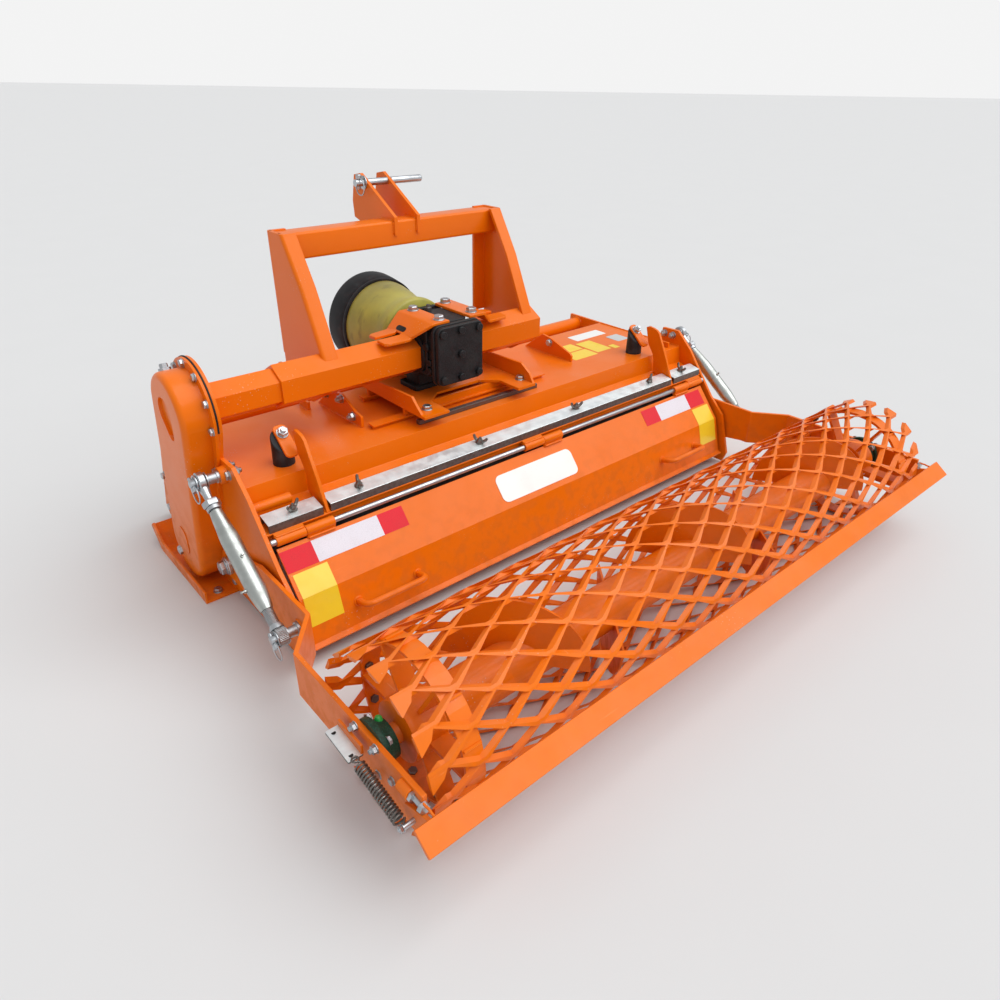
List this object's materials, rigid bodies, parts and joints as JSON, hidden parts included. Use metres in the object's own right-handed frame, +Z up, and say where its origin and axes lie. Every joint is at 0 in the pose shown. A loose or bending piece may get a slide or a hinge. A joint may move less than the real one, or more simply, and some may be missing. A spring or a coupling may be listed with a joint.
{
  "type": "stone burier",
  "caption": "Mounted stone burier with hooded rotor, chain case, three-point hitch, guarded input shaft, hinged rear door, mesh roller on two screw-adjusted arms and a sprung scraper bar.",
  "frame": {"origin": "on the ground, below the middle of the machine's box", "axes": "+X across the machine to the right seen from behind, +Y forward to the tractor, +Z up"},
  "size_m": [1.878, 1.531, 0.932],
  "materials": {
    "orange_paint": "gloss enamel",
    "black_cast": "black painted casting",
    "black_rubber": "matte",
    "guard_plastic": "weathered yellow-green",
    "zinc": "zinc plated",
    "spring_steel": "oiled spring steel",
    "link_steel": "satin zinc plated",
    "green_cast": "dark green paint",
    "bare_steel": "greased steel"
  },
  "bodies": {
    "frame": {"side_plate_left": "orange_paint", "side_plate_right": "orange_paint", "hood": "orange_paint", "hood_gussets": "orange_paint", "beam_tube": "orange_paint", "beam_sleeves": "orange_paint", "front_tube": "orange_paint", "hitch_frame": "orange_paint", "top_link_ears": "orange_paint", "top_link_pin": "zinc", "lower_link_pins": "zinc", "gearbox": "black_cast", "shaft_guard": "guard_plastic", "guard_ring": "black_rubber", "gearbox_brackets": "orange_paint", "gearbox_tray": "orange_paint", "slide_rails": "orange_paint", "slide_bar": "bare_steel", "chain_case": "orange_paint", "skids": "orange_paint", "rotor_bearing": "black_cast", "stone_grid": "orange_paint", "stop_arms": "orange_paint", "grid_pivot": "orange_paint", "rubber_buffers": "black_rubber", "clamp_strips": "zinc", "hinge_rod": "zinc", "hood_barrels": "orange_paint", "frame_pins": "zinc"},
    "rotor": {"rotor_shaft": "orange_paint", "rotor_blades": "orange_paint"},
    "drive_input": {"input_shaft": "bare_steel"},
    "rear_door": {"door_panel": "orange_paint", "door_handles": "orange_paint"},
    "roller_frame": {"arm_left": "orange_paint", "arm_right": "orange_paint", "arm_pins": "zinc", "roller_bearings": "green_cast", "scraper": "orange_paint", "scraper_springs": "spring_steel", "spring_plates": "zinc"},
    "roller": {"roller_core": "orange_paint", "roller_mesh": "orange_paint"},
    "link_barrel_left_body": {"link_barrel_left": "link_steel"},
    "link_screw_left_body": {"link_screw_left": "zinc"},
    "link_barrel_right_body": {"link_barrel_right": "link_steel"},
    "link_screw_right_body": {"link_screw_right": "zinc"}
  },
  "joints": [
    {"name": "rotor_spin", "type": "hinge", "parent": "frame", "child": "rotor", "pos_m": [0, 0.3775, 0.183], "axis": [1, 0, 0], "continuous": true},
    {"name": "input_spin", "type": "hinge", "parent": "frame", "child": "drive_input", "pos_m": [-0.141, 0.3775, 0.518], "axis": [0, 1, 0], "continuous": true},
    {"name": "rear_door_swing", "type": "hinge", "parent": "frame", "child": "rear_door", "pos_m": [0, 0.0165, 0.27], "axis": [-1, 0, 0], "range_deg": [0, 95]},
    {"name": "roller_frame_swing", "type": "hinge", "parent": "frame", "child": "roller_frame", "pos_m": [0, 0.2395, 0.104], "axis": [-1, 0, 0], "range_deg": [-4, 6]},
    {"name": "roller_spin", "type": "hinge", "parent": "roller_frame", "child": "roller", "pos_m": [0, -0.5295, 0.172], "axis": [1, 0, 0], "continuous": true},
    {"name": "link_barrel_left_tilt", "type": "hinge", "parent": "frame", "child": "link_barrel_left_body", "pos_m": [-0.867, 0.1795, 0.382], "axis": [-1, 0, 0], "range_deg": [-2.9, 4.3]},
    {"name": "link_screw_left_length", "type": "slide", "parent": "link_barrel_left_body", "child": "link_screw_left_body", "axis": [0, -0.8072, -0.5903], "range_m": [-0.028, 0.019]},
    {"name": "link_barrel_right_tilt", "type": "hinge", "parent": "frame", "child": "link_barrel_right_body", "pos_m": [0.867, 0.1795, 0.382], "axis": [-1, 0, 0], "range_deg": [-2.9, 4.3]},
    {"name": "link_screw_right_length", "type": "slide", "parent": "link_barrel_right_body", "child": "link_screw_right_body", "axis": [0, -0.8072, -0.5903], "range_m": [-0.028, 0.019]}
  ],
  "couplings": [
    {"joint": "input_spin", "follows": "rotor_spin", "ratio": 2.5},
    {"joint": "link_barrel_left_tilt", "follows": "roller_frame_swing", "ratio": 0.7082},
    {"joint": "link_screw_left_length", "follows": "roller_frame_swing", "m_per_rad": -0.25982},
    {"joint": "link_barrel_right_tilt", "follows": "roller_frame_swing", "ratio": 0.7082},
    {"joint": "link_screw_right_length", "follows": "roller_frame_swing", "m_per_rad": -0.25982}
  ]
}
